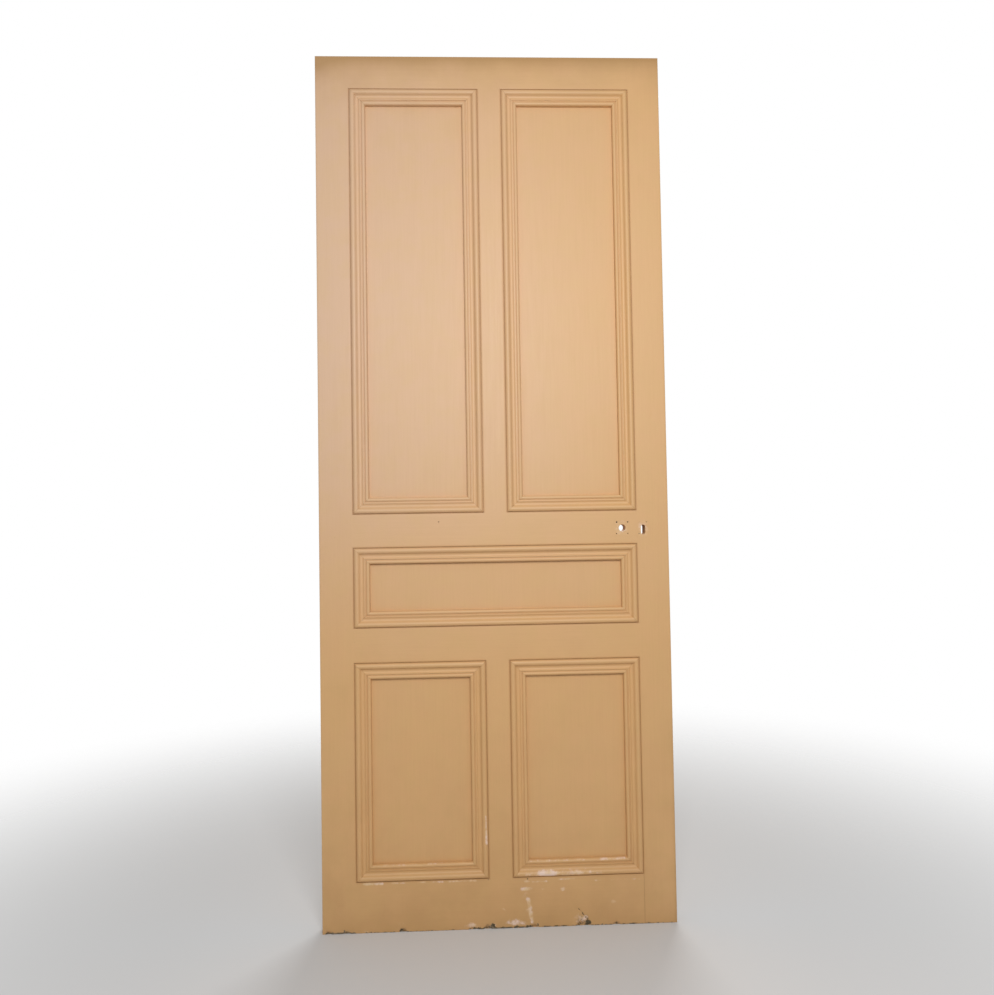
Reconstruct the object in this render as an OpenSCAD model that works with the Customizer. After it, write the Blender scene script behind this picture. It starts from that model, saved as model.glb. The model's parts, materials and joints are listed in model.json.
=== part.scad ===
// Panelled door leaf: five flat panels, each in a mitred frame of bold mouldings.
// X runs across the leaf (+X is the lock edge), Y through its thickness (the front looks
// toward -Y) and Z up. The origin is under the middle of the leaf, at its bottom edge.

/* [Leaf] */
// Width of the whole leaf
leaf_w = 860; // [760:5:1040]
// Height of the whole leaf
leaf_h = 2150; // [1800:5:2600]
// Thickness of the stiles, rails and muntins
frame_t = 36; // [32:1:46]

/* [Stiles and muntins] */
// Width of the stile on the hinge side
hinge_stile_w = 82; // [70:1:110]
// Width of the stile on the lock side
lock_stile_w = 79; // [70:1:100]
// Width of the two upright muntins between the paired panels
muntin_w = 57; // [50:1:80]

/* [Rails] */
// Height of the top rail
top_rail_h = 82; // [70:0.5:140]
// Height of the lock rail, under the upper panels
lock_rail_h = 81.5; // [72:0.5:140]
// Height of the middle panel's opening, between the lock rail and the middle rail
middle_opening_h = 196; // [120:1:300]
// Height of the middle rail
middle_rail_h = 84; // [70:0.5:140]
// Height of the lower panels' openings
lower_opening_h = 526; // [300:1:620]
// Height of the bottom rail
bottom_rail_h = 120; // [90:1:220]

/* [Mouldings] */
// Width of a moulding, from the framing to the panel
mould_w = 40; // [38:1:48]
// Width of the quirk between the framing and the outer bead
outer_quirk_w = 1.5; // [0.5:0.25:2]
// Depth of that quirk below the face of the framing
outer_quirk_drop = 2.5; // [1.5:0.25:4]
// How far the outer bead stands out from the framing
bead_proud = 5; // [2:0.5:7]
// Radius of the outer bead
bead_r = 7; // [5.5:0.5:8]
// Distance from the framing to the bottom of the hollow
hollow_s = 21; // [19:0.5:22]
// Depth of the hollow below the face of the framing
hollow_drop = 3; // [1.5:0.5:5]
// Distance from the framing to the end of the fillet beside the hollow
fillet_s = 28.5; // [28:0.25:29.5]
// Depth of that fillet below the face of the framing
fillet_drop = 0.5; // [0:0.25:1]
// Depth of the quirk between the fillet and the inner bead
quirk_drop = 2.5; // [1.5:0.25:3.5]
// Radius of the inner bead
inner_r = 5; // [3:0.25:5]
// Thickness of the tongue that enters the framing
tongue_t = 12; // [8:1:14]
// Length of that tongue
tongue_l = 9; // [6:1:12]

/* [Panels] */
// Thickness of every panel
panel_t = 12; // [8:1:16]
// How far a panel enters its mouldings
panel_in = 8; // [5:1:9]

/* [Joints] */
// Thickness of the tenons
tenon_t = 13; // [10:1:16]
// Length of the rails' tenons
tenon_l = 58; // [50:1:62]
// Length of the muntins' tenons
muntin_tenon_l = 38; // [25:1:42]
// Solid wood kept beyond the top and bottom rails' tenons
end_set = 22; // [15:1:30]
// Diameter of the pegs
peg_d = 9; // [6:0.5:12]
// Distance from a rail's shoulder to its pegs
peg_inset = 36; // [34:1:40]
// Distance from a muntin's shoulder to its peg
muntin_peg_inset = 20; // [14:1:22]
// Distance from the edge of a tenon to the pegs in it
peg_edge = 11; // [9:0.5:14]
// Solid wood kept in front of the pegs, which are driven from the back
peg_stop = 6; // [3:1:9]

/* [Lock holes] */
// Diameter of the spindle hole
spindle_d = 17; // [12:0.5:22]
// Distance from the lock edge to the spindle hole
spindle_backset = 115; // [104:1:130]
// How far the spindle hole lies below the middle of the lock rail
spindle_drop = 2; // [0:1:8]
// Width of the keyhole
keyhole_w = 11; // [7:0.5:14]
// Height of the keyhole, with its round ends
keyhole_h = 24.5; // [18:0.5:30]
// Distance from the lock edge to the keyhole
keyhole_backset = 63; // [58:1:68]
// How far the keyhole lies below the middle of the lock rail
keyhole_drop = 7; // [0:1:10]
// Side of the square of screw holes round the spindle hole
rose_pitch = 28; // [26:1:34]
// Diameter of the old screw and nail holes
screw_hole_d = 2.5; // [2:0.5:4]
// Depth of the old screw and nail holes
screw_hole_l = 12; // [6:1:20]
// Distance from the hinge edge to the old nail hole in the lock rail
nail_hole_x = 292; // [200:1:380]
// How far that nail hole lies above the middle of the lock rail
nail_hole_rise = 20; // [0:1:28]

/* [Clearances] */
// Clearance on each cheek of a tongue, tenon, peg or panel edge
slip = 0.1; // [0:0.05:0.3]
// Space past the end of a moulding's tongue
tongue_gap = 1; // [0.5:0.5:2]
// Space past the edge of a panel, where it shrinks and swells
panel_gap = 2; // [1:0.5:3]
// Space past the end of a tenon
tenon_gap = 2; // [1:0.5:4]

/* [Hidden] */

$fn = 48;
cut = 1;                 // how far a cut runs past the face it opens
paint = "#DDB48C";       // peach ochre paint
panel_paint = "#D9AE82"; // the same paint in the shade of the mouldings
wood = "#B08A5E";        // bare wood of the pegs
peg_chamfer = 1;         // chamfer on the tip of a peg
bead_steps = 6;          // flats on each side of the outer bead's crest
hollow_steps = 8;        // flats round the hollow
inner_steps = 8;         // flats round the inner bead

// Chips broken from the front arris of the bottom edge: [distance from the hinge edge,
// width, height, depth]
bottom_chips = [
    [10, 9, 12, 4], [52, 13, 8, 3], [186, 16, 9, 4], [351, 24, 7, 3], [388, 18, 12, 4],
    [495, 26, 9, 4], [611, 38, 34, 5], [702, 18, 8, 3]
];

face = frame_t / 2;
left_x = -leaf_w / 2;
right_x = leaf_w / 2;
field_left = left_x + hinge_stile_w;
field_right = right_x - lock_stile_w;
field_w = field_right - field_left;
field_x = (field_left + field_right) / 2;
pair_w = (field_w - muntin_w) / 2;
muntin_left = field_x - muntin_w / 2;
muntin_right = field_x + muntin_w / 2;

// Levels of the rails' edges, from the bottom up
bottom_rail_top = bottom_rail_h;
middle_rail_bottom = bottom_rail_top + lower_opening_h;
middle_rail_top = middle_rail_bottom + middle_rail_h;
lock_rail_bottom = middle_rail_top + middle_opening_h;
lock_rail_top = lock_rail_bottom + lock_rail_h;
top_rail_bottom = leaf_h - top_rail_h;
upper_opening_h = top_rail_bottom - lock_rail_top;

// Openings in the framing: [left, bottom, width, height]
UPPER_LEFT = [field_left, lock_rail_top, pair_w, upper_opening_h];
UPPER_RIGHT = [muntin_right, lock_rail_top, pair_w, upper_opening_h];
MIDDLE = [field_left, middle_rail_top, field_w, middle_opening_h];
LOWER_LEFT = [field_left, bottom_rail_top, pair_w, lower_opening_h];
LOWER_RIGHT = [muntin_right, bottom_rail_top, pair_w, lower_opening_h];
OPENINGS = [UPPER_LEFT, UPPER_RIGHT, MIDDLE, LOWER_LEFT, LOWER_RIGHT];

// The groove in the framing for the mouldings' tongues
groove_l = tongue_l + tongue_gap;
groove_t = tongue_t + 2 * slip;

// Levels of the rails' tenons: [bottom, top]
BOTTOM_TENON = [end_set, bottom_rail_top - groove_l];
MIDDLE_TENON = [middle_rail_bottom + groove_l, middle_rail_top - groove_l];
LOCK_TENON = [lock_rail_bottom + groove_l, lock_rail_top - groove_l];
TOP_TENON = [top_rail_bottom + groove_l, leaf_h - end_set];
RAIL_TENONS = [BOTTOM_TENON, MIDDLE_TENON, LOCK_TENON, TOP_TENON];
muntin_tenon_w = muntin_w - 2 * groove_l;

lock_rail_middle = (lock_rail_bottom + lock_rail_top) / 2;
spindle_x = right_x - spindle_backset;
spindle_z = lock_rail_middle - spindle_drop;
keyhole_x = right_x - keyhole_backset;
keyhole_z = lock_rail_middle - keyhole_drop;

// Places of the pegs: [x, z]
STILE_PEGS = [
    for (x = [field_left - peg_inset, field_right + peg_inset])
        for (tenon = RAIL_TENONS)
            for (z = [tenon[0] + peg_edge, tenon[1] - peg_edge]) [x, z]
];
MUNTIN_PEGS = [
    [field_x, top_rail_bottom + muntin_peg_inset], [field_x, lock_rail_top - muntin_peg_inset],
    [field_x, middle_rail_bottom + muntin_peg_inset], [field_x, bottom_rail_top - muntin_peg_inset]
];

// ---- Framing ----

// A board through the whole thickness, from corner to corner
module board(x0, x1, z0, z1, thickness = frame_t) {
    translate([x0, -thickness / 2, z0]) cube([x1 - x0, thickness, z1 - z0]);
}

// The grooves round every opening, in which the mouldings' tongues sit
module opening_grooves() {
    for (o = OPENINGS)
        board(o[0] - groove_l, o[0] + o[2] + groove_l, o[1] - groove_l, o[1] + o[3] + groove_l, groove_t);
}

// One tenon, or the mortise for it when grown by the clearances
module rail_tenon(side, levels, extra_l = 0, extra_t = 0) {
    shoulder = side < 0 ? field_left : field_right;
    tip = shoulder + side * (tenon_l + extra_l);
    board(min(shoulder, tip), max(shoulder, tip), levels[0], levels[1], tenon_t + extra_t);
}

module muntin_tenon(side, shoulder, extra_l = 0, extra_t = 0) {
    tip = shoulder + side * (muntin_tenon_l + extra_l);
    board(field_x - muntin_tenon_w / 2, field_x + muntin_tenon_w / 2,
        min(shoulder, tip), max(shoulder, tip), tenon_t + extra_t);
}

module rail_mortise(side, levels) {
    rail_tenon(side, levels, tenon_gap, 2 * slip);
}

module muntin_mortise(side, shoulder) {
    muntin_tenon(side, shoulder, tenon_gap, 2 * slip);
}

module peg_holes(places) {
    for (p = places)
        translate([p[0], -face + peg_stop, p[1]])
            rotate([-90, 0, 0]) cylinder(h = frame_t, d = peg_d + 2 * slip);
}

module stile(side) {
    x0 = side < 0 ? left_x : field_right;
    x1 = side < 0 ? field_left : right_x;
    difference() {
        board(x0, x1, 0, leaf_h);
        opening_grooves();
        for (tenon = RAIL_TENONS) rail_mortise(side, tenon);
        peg_holes(STILE_PEGS);
        bottom_chip_cuts();
    }
}

// A rail with its tenons; what is cut from it is passed as children
module rail(z0, z1, tenon) {
    difference() {
        union() {
            board(field_left, field_right, z0, z1);
            for (side = [-1, 1]) rail_tenon(side, tenon);
        }
        opening_grooves();
        peg_holes(concat(STILE_PEGS, MUNTIN_PEGS));
        children();
    }
}

module muntin(z0, z1) {
    difference() {
        union() {
            board(muntin_left, muntin_right, z0, z1);
            muntin_tenon(-1, z0);
            muntin_tenon(1, z1);
        }
        opening_grooves();
        peg_holes(MUNTIN_PEGS);
    }
}

// ---- Holes, chips ----

// A round hole from the front face, right through the leaf unless a depth is given
module front_hole(x, z, d, depth = frame_t + cut) {
    translate([x, -face - cut, z]) rotate([-90, 0, 0]) cylinder(h = depth + cut, d = d);
}

module spindle_hole() {
    front_hole(spindle_x, spindle_z, spindle_d);
}

module keyhole() {
    end = (keyhole_h - keyhole_w) / 2;
    for (rise = [-end, end]) front_hole(keyhole_x, keyhole_z + rise, keyhole_w);
    translate([keyhole_x - keyhole_w / 2, -face - cut, keyhole_z - end])
        cube([keyhole_w, frame_t + 2 * cut, 2 * end]);
}

module screw_hole(x, z) {
    front_hole(x, z, screw_hole_d, screw_hole_l);
}

module rose_screw_holes() {
    for (dx = [-1, 1])
        for (dz = [-1, 1])
            screw_hole(spindle_x + dx * rose_pitch / 2, spindle_z + dz * rose_pitch / 2);
}

// Each chip is a wedge off the front arris
module bottom_chip_cuts() {
    for (c = bottom_chips)
        translate([left_x + c[0], -face, 0])
            rotate([90, 0, 90]) linear_extrude(c[1]) polygon([[-cut, -cut], [c[3], -cut], [-cut, c[2]]]);
}

// ---- Mouldings ----

// Points on a round stretch, from one angle to another
function arc(centre, r, from, to, steps) =
    [for (i = [0:steps]) let (a = from + (to - from) * i / steps) centre + r * [cos(a), sin(a)]];

// The same points without the first, which the stretch before it ends on
function after_start(points) = [for (i = [1:len(points) - 1]) points[i]];

// The outer bead runs smoothly into the hollow, which fixes the hollow's radius
bead_centre = [outer_quirk_w + bead_r, face + bead_proud - bead_r];
bead_start = 180 + asin((bead_centre[1] - face + outer_quirk_drop) / bead_r);
hollow_side = hollow_s - bead_centre[0];
hollow_fall = face - hollow_drop - bead_centre[1];
hollow_r = (hollow_side^2 + hollow_fall^2 - bead_r^2) / (2 * (bead_r - hollow_fall));
hollow_centre = [hollow_s, face - hollow_drop + hollow_r];
ogee_angle = atan2(hollow_centre[1] - bead_centre[1], hollow_side);
fillet_angle = 360 + asin((face - fillet_drop - hollow_centre[1]) / hollow_r);
inner_centre = [mould_w - inner_r, face - inner_r];
inner_angle = 180 - asin((face - quirk_drop - inner_centre[1]) / inner_r);
panel_groove_s = mould_w - panel_in - panel_gap;

// Front half of a moulding's section: [distance from the framing, height above mid-thickness]
FRONT_SECTION = concat(
    [[-tongue_l, tongue_t / 2], [0, tongue_t / 2], [0, face - outer_quirk_drop]],
    arc(bead_centre, bead_r, bead_start, 90, bead_steps),
    after_start(arc(bead_centre, bead_r, 90, ogee_angle, bead_steps)),
    after_start(arc(hollow_centre, hollow_r, 180 + ogee_angle, fillet_angle, hollow_steps)),
    [[fillet_s, face - fillet_drop], [fillet_s, face - quirk_drop]],
    arc(inner_centre, inner_r, inner_angle, 0, inner_steps),
    [[mould_w, panel_t / 2 + slip], [panel_groove_s, panel_t / 2 + slip]]
);

module moulding_section() {
    back = [for (i = [len(FRONT_SECTION) - 1:-1:0]) [FRONT_SECTION[i][0], -FRONT_SECTION[i][1]]];
    polygon(concat(FRONT_SECTION, back));
}

// One moulding along +X from the origin, for a side of the given length, mitred at both ends;
// its outer edge lies on Z = 0 and its panel edge on Z = mould_w
module moulding(length) {
    intersection() {
        translate([-tongue_l, 0, 0])
            rotate([90, 0, 90]) linear_extrude(length + 2 * tongue_l)
                rotate(90) mirror([0, 1]) moulding_section();
        translate([0, face + 2 * bead_proud, 0])
            rotate([90, 0, 0]) linear_extrude(frame_t + 4 * bead_proud)
                polygon([[-tongue_l, -tongue_l], [length + tongue_l, -tongue_l],
                    [length - mould_w, mould_w], [mould_w, mould_w]]);
    }
}

// The moulding on one side of an opening
module opening_moulding(o, side) {
    color(paint) {
        if (side == "bottom") translate([o[0], 0, o[1]]) moulding(o[2]);
        if (side == "top") translate([o[0] + o[2], 0, o[1] + o[3]]) rotate([0, 180, 0]) moulding(o[2]);
        if (side == "left") translate([o[0], 0, o[1] + o[3]]) rotate([0, 90, 0]) moulding(o[3]);
        if (side == "right") translate([o[0] + o[2], 0, o[1]]) rotate([0, -90, 0]) moulding(o[3]);
    }
}

// ---- Panels ----

module opening_panel(o) {
    edge = mould_w - panel_in;
    color(panel_paint) board(o[0] + edge, o[0] + o[2] - edge, o[1] + edge, o[1] + o[3] - edge, panel_t);
}

// ---- Pegs ----

module pegs(places) {
    color(wood)
        for (p = places)
            translate([p[0], -face + peg_stop, p[1]]) rotate([-90, 0, 0]) {
                cylinder(h = peg_chamfer, d1 = peg_d - 2 * peg_chamfer, d2 = peg_d);
                translate([0, 0, peg_chamfer]) cylinder(h = frame_t - peg_stop - peg_chamfer, d = peg_d);
            }
}

// ---- Named pieces of the framing ----

module hinge_stile() {
    color(paint) stile(-1);
}

module lock_stile() {
    color(paint) difference() {
        stile(1);
        keyhole();
    }
}

module top_rail() {
    color(paint) rail(top_rail_bottom, leaf_h, TOP_TENON) muntin_mortise(1, top_rail_bottom);
}

module lock_rail() {
    color(paint) rail(lock_rail_bottom, lock_rail_top, LOCK_TENON) {
        muntin_mortise(-1, lock_rail_top);
        spindle_hole();
        keyhole();
        rose_screw_holes();
        screw_hole(left_x + nail_hole_x, lock_rail_middle + nail_hole_rise);
    }
}

module middle_rail() {
    color(paint) rail(middle_rail_bottom, middle_rail_top, MIDDLE_TENON)
        muntin_mortise(1, middle_rail_bottom);
}

module bottom_rail() {
    color(paint) rail(0, bottom_rail_top, BOTTOM_TENON) {
        muntin_mortise(-1, bottom_rail_top);
        bottom_chip_cuts();
    }
}

module upper_muntin() {
    color(paint) muntin(lock_rail_top, top_rail_bottom);
}

module lower_muntin() {
    color(paint) muntin(bottom_rail_top, middle_rail_bottom);
}

module stile_pegs() {
    pegs(STILE_PEGS);
}

module muntin_pegs() {
    pegs(MUNTIN_PEGS);
}

hinge_stile();
lock_stile();
top_rail();
lock_rail();
middle_rail();
bottom_rail();
upper_muntin();
lower_muntin();
opening_panel(UPPER_LEFT);  // upper_left_panel
opening_panel(UPPER_RIGHT);  // upper_right_panel
opening_panel(MIDDLE);  // middle_panel
opening_panel(LOWER_LEFT);  // lower_left_panel
opening_panel(LOWER_RIGHT);  // lower_right_panel
opening_moulding(UPPER_LEFT, "bottom");  // upper_left_moulding_bottom
opening_moulding(UPPER_LEFT, "top");  // upper_left_moulding_top
opening_moulding(UPPER_LEFT, "left");  // upper_left_moulding_left
opening_moulding(UPPER_LEFT, "right");  // upper_left_moulding_right
opening_moulding(UPPER_RIGHT, "bottom");  // upper_right_moulding_bottom
opening_moulding(UPPER_RIGHT, "top");  // upper_right_moulding_top
opening_moulding(UPPER_RIGHT, "left");  // upper_right_moulding_left
opening_moulding(UPPER_RIGHT, "right");  // upper_right_moulding_right
opening_moulding(MIDDLE, "bottom");  // middle_moulding_bottom
opening_moulding(MIDDLE, "top");  // middle_moulding_top
opening_moulding(MIDDLE, "left");  // middle_moulding_left
opening_moulding(MIDDLE, "right");  // middle_moulding_right
opening_moulding(LOWER_LEFT, "bottom");  // lower_left_moulding_bottom
opening_moulding(LOWER_LEFT, "top");  // lower_left_moulding_top
opening_moulding(LOWER_LEFT, "left");  // lower_left_moulding_left
opening_moulding(LOWER_LEFT, "right");  // lower_left_moulding_right
opening_moulding(LOWER_RIGHT, "bottom");  // lower_right_moulding_bottom
opening_moulding(LOWER_RIGHT, "top");  // lower_right_moulding_top
opening_moulding(LOWER_RIGHT, "left");  // lower_right_moulding_left
opening_moulding(LOWER_RIGHT, "right");  // lower_right_moulding_right
stile_pegs();
muntin_pegs();
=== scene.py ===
import json
import math

import bmesh
import bpy
import numpy as np
from mathutils import Matrix, Vector, noise


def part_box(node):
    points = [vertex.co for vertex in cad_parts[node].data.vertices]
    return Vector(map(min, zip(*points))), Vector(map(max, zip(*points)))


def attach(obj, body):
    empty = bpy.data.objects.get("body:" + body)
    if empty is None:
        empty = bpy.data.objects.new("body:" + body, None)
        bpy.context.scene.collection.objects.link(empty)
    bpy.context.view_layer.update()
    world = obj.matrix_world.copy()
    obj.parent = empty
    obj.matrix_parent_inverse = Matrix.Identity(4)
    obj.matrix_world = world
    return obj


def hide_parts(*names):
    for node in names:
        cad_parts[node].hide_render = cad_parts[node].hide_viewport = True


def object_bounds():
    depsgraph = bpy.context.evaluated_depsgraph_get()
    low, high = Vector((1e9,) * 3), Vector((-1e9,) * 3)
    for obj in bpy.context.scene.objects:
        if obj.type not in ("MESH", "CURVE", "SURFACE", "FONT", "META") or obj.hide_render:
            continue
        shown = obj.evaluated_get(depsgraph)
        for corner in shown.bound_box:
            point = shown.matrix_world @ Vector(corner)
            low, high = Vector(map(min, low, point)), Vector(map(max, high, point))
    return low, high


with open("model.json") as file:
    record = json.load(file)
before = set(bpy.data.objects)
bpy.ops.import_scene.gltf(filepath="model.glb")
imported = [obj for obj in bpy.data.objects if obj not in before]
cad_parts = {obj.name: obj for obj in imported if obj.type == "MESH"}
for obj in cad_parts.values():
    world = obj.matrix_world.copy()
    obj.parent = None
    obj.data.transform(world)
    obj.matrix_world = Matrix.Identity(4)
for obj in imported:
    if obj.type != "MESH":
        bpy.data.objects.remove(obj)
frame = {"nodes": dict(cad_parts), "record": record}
cad_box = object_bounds()

MM = 0.001
NEAR = 0.05 * MM          # two coordinates closer than this are the same

# ---- Sizes taken from the frame ----

LEAF_LOW, LEAF_HIGH = cad_box
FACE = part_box("hinge_stile")[1].y                 # half the thickness of the framing
FIELD_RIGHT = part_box("lock_stile")[0].x
PANEL_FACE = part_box("middle_panel")[1].y
BOTTOM_RAIL_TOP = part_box("bottom_rail")[1].z
MIDDLE_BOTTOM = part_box("middle_moulding_bottom")
MOUNTS = {mount["name"]: Vector(mount["pos_m"]) for mount in frame["record"]["mounts"]}
SPINDLE = MOUNTS["spindle_bore"]
KEYHOLE = MOUNTS["keyhole"]

# ---- Sizes of the mouldings' section ----

TONGUE_L = 9 * MM
MOULD_W = MIDDLE_BOTTOM[1].z - MIDDLE_BOTTOM[0].z - TONGUE_L
TONGUE_T = 12 * MM
OUTER_QUIRK_W = 1.5 * MM
OUTER_QUIRK_DROP = 2.5 * MM
BEAD_PROUD = LEAF_HIGH.y - FACE
BEAD_R = 7 * MM
HOLLOW_S = 21 * MM
HOLLOW_DROP = 3 * MM
FILLET_S = 28.5 * MM
FILLET_DROP = 0.5 * MM
QUIRK_DROP = 2.5 * MM
INNER_R = 5 * MM
INNER_LIP = 2.5 * MM      # height of the wall between a panel and the inner bead
PANEL_SLIP = 0.1 * MM
PANEL_GROOVE = 10 * MM
PANEL_IN = 8 * MM
PANEL_SHADE_AND_DIRT = 6 * MM       # how far painted shade and dirt spread from the mouldings onto a panel
MITRE_GAP = 0.12 * MM     # half of the hairline at a mitre, which closes below the surface
MITRE_DIRT = 1.1 * MM     # how far dirt spreads from that hairline
MITRE_CUTS = [0, 0.9 * MM, 2.2 * MM, 5 * MM]
HIDDEN_RISE = 2 * MM      # how far above a panel's face a moulding starts to count as seen
SHADE_AND_DIRT_REACH = 4.5 * MM     # how far painted shade and dirt spread from the line between framing and moulding
MOULD_STEP = 11 * MM      # spacing of the rings along a moulding, and along the worn ones
MOULD_STEP_WORN = {"bottom": 4 * MM, "right": 3 * MM}
MOULD_UNEVEN = 0.14 * MM  # unevenness along a moulding, and the finer part across it
MOULD_RIPPLE = 0.07 * MM

# ---- Sizes of the framing's finish ----

EDGE_ROUND = 1.3 * MM     # rounding of the leaf's own arrises
OPENING_ROUND = 0.7 * MM  # rounding of the framing beside a moulding
HOLE_ROUND = 0.5 * MM     # wear round the lock holes
JOINT_ROUND = 0.6 * MM    # the one shoulder that has opened
PLANING = 0.22 * MM       # unevenness left by planing and many coats of paint
EDGE_KEPT = 2 * MM        # the leaf's own edges stay painted to this depth
SHALLOW = 0.1 * MM        # how deep below a face its unevenness reaches in full
DEEP = 2 * MM             # how deep below a face it has died away
COARSE_GRID = 14 * MM
FINE_GRID = 2.4 * MM
RAIL_GRID = 6 * MM
HOLE_MARKS = 26 * MM      # how far round a lock hole the old fittings left marks
WEDGE_H = 34 * MM         # the tallest and the deepest of the frame's plain chips
WEDGE_DEPTH = 5 * MM
BROKEN_BARE = 0.56        # how bare the wood is where it is broken this deep or deeper
BROKEN_DEPTH = 1.5 * MM
LINE_SHADE_AND_DIRT = 0.42          # how dark the framing is beside a moulding: painted shade and dirt

SMOOTH_ANGLE = 32         # degrees; sharper edges stay sharp
FLAT_ANGLE = 0.5          # degrees; faces closer than this to one plane are joined

# ---- Panels and pegs ----

PANEL_BOW = 0.7 * MM
PANEL_WAVE = 0.3 * MM
PEG_ROUND = 0.6 * MM
PEG_DIMPLE = 0.15 * MM

OPENING_NAMES = ["upper_left", "upper_right", "middle", "lower_left", "lower_right"]
SIDES = ["bottom", "top", "left", "right"]


def opening_box(name):
    """Left, bottom, right and top of an opening in the framing."""
    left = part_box(f"{name}_moulding_left")[0].x + TONGUE_L
    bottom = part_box(f"{name}_moulding_bottom")[0].z + TONGUE_L
    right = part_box(f"{name}_moulding_right")[1].x - TONGUE_L
    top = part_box(f"{name}_moulding_top")[1].z - TONGUE_L
    return left, bottom, right, top


OPENINGS = {name: opening_box(name) for name in OPENING_NAMES}


def opening_edges(first):
    """Places of the openings' upright edges (0) or level edges (1)."""
    return sorted({edge for box in OPENINGS.values() for edge in box[first::2]})


# ---- Wear, with painted shade and painted highlights, as fields over the front ----

HANDLED_TO = 750 * MM     # the lock edge is soiled up to here
# Each spot is (x, z, half width, half height, strength) and each streak is
# (x0, z0, x1, z1, half width, strength), all but the strengths in millimetres.

# Where the top coats are thin or gone and the pale undercoat shows; some streaks below are
# painted highlights in the undercoat's colour
PALE_SPOTS = [
    (66, 129, 10, 6, 0.62), (116, 129.5, 33, 8, 1.35), (155, 129, 16, 6, 0.70),
    (188, 129.5, 18, 7, 0.90), (214, 130, 13, 5, 0.66), (240, 129, 12, 6, 0.66),
    (150, 129, 118, 9, 0.66), (64, 110, 12, 5, 0.68), (62, 93, 17, 7, 0.90), (66, 68, 7, 7, 0.80),
    (70, 42, 11, 11, 0.72), (62, 82, 10, 16, 0.50), (152, 89, 8, 7, 0.80), (275, 56, 7, 6, 0.72),
    (196, 17, 24, 14, 0.62), (35, 14, 19, 10, 0.82), (-26, 7, 14, 8, 0.66), (-70, 10, 18, 8, 0.74),
    (-322, 4, 14, 5, 0.62), (-171, 161, 10, 5, 0.80), (289, 917, 4, 3, 0.60),
    (315, 965, 24, 22, 0.62), (367, 960, 17, 24, 0.62), (240, 36, 6, 5, 0.55),
    (111, 60, 5, 7, 0.50), (104, 92, 9, 4, 0.50), (-240, 20, 16, 6, 0.44),
]
PALE_STREAKS_AND_HIGHLIGHTS = [
    (-33, 205, -33, 235, 3.0, 0.90), (-33.5, 232, -33.5, 272, 2.6, 0.66),
    # The next four streaks, on the inner beads of the lower mouldings' bottoms, are painted highlights
    # in the undercoat's colour.
    (62, 159, 205, 159, 3.4, 0.50), (245, 158.5, 303, 159, 3.8, 0.64),
    (-294, 159, -150, 161, 3.4, 0.46), (-150, 161, -69, 163, 3.0, 0.48),
    (-330, 116.5, -285, 116, 3.6, 0.86), (-262, 116.5, -232, 116.5, 2.8, 0.60),
    (-200, 117, -140, 116.5, 2.6, 0.60), (-128, 117, -60, 116.5, 2.8, 0.66),
    (78, 109, 112, 109.5, 2.6, 0.62), (140, 113, 180, 114, 2.6, 0.66), (230, 108, 340, 108, 2.6, 0.50),
    (68, 64, 73, 24, 5.5, 0.86), (12, 42, 4, 48, 2.6, 0.60), (74, 36, 76, 12, 4.5, 0.74),
    (14, 14, 60, 12, 5.0, 0.62),
]
# The short split in the wood beside the largest chip: (x0, z0, x1, z1)
SPLIT = (189, 41, 203, 24)
SPLIT_DEPTH = 1.4 * MM
# Where the wood itself shows, dark and dirty
BARE_SPOTS = [
    (212, 7, 8, 8, 1.15), (190, 12, 12, 9, 0.62), (38, 3, 10, 5, 0.72), (68, 4, 12, 5, 0.70),
    (-20, 6, 8, 9, 1.10), (-55, 3, 12, 4, 0.62), (89, 6, 3, 6, 0.80), (281, 4, 6, 6, 0.80),
    (360, 2, 6, 3, 0.70), (-241, 4, 7, 5, 0.95), (-379, 6, 3, 8, 0.90), (-420, 3, 9, 5, 0.85),
    (-318, 2, 18, 3, 0.60), (-340, 223, 2.0, 2.0, 0.85), (66, 117, 4, 3, 0.66),
    (-30, 118, 3, 5, 0.72), (330, 2, 12, 3, 0.60), (248, 2, 12, 3, 0.62),
    (301, 979, 3, 3, 0.84), (329, 979, 3, 3, 0.84), (301, 951, 3, 3, 0.62), (329, 951, 3, 3, 0.66),
    (357, 978, 3, 2, 0.74), (376, 978, 3, 2, 0.74), (357, 950, 3, 2, 0.74), (377, 952, 3, 2, 0.74),
]
BARE_STREAKS = [
    (*SPLIT, 1.2, 0.72),
    (-60, 2, 70, 2, 2.4, 0.80), (100, 2, 180, 2, 2.2, 0.66), (-426, 2, -352, 2, 3.0, 0.80),
    (-352, 1, -100, 1, 1.8, 0.52), (180, 1, 420, 1, 2.0, 0.62),
]
# Chips out of the wood of the front's bottom arris, where the frame has plain wedges:
# (left, width, height, depth) in millimetres
CHIPS = [
    (-420, 9, 12, 4), (-378, 13, 8, 3), (-244, 16, 9, 4), (-79, 24, 7, 3),
    (-42, 18, 12, 4), (65, 26, 9, 4), (183, 36, 30, 2.6), (272, 18, 8, 3),
]
# Dents: (x, z, radius, depth) in millimetres
DENTS = [(308, 1720, 6, 0.5), (-210, 780, 5, 0.35), (395, 1240, 7, 0.4), (-395, 1430, 8, 0.4)]


def spots_field(x, z, spots):
    """The strongest of the round spots at each point, falling to nothing at its edge."""
    field = np.zeros_like(x)
    for cx, cz, half_w, half_h, strength in spots:
        r = np.hypot((x - cx * MM) / (half_w * MM), (z - cz * MM) / (half_h * MM))
        field = np.maximum(field, strength * np.clip(1.35 - r, 0, 1))
    return field


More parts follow.
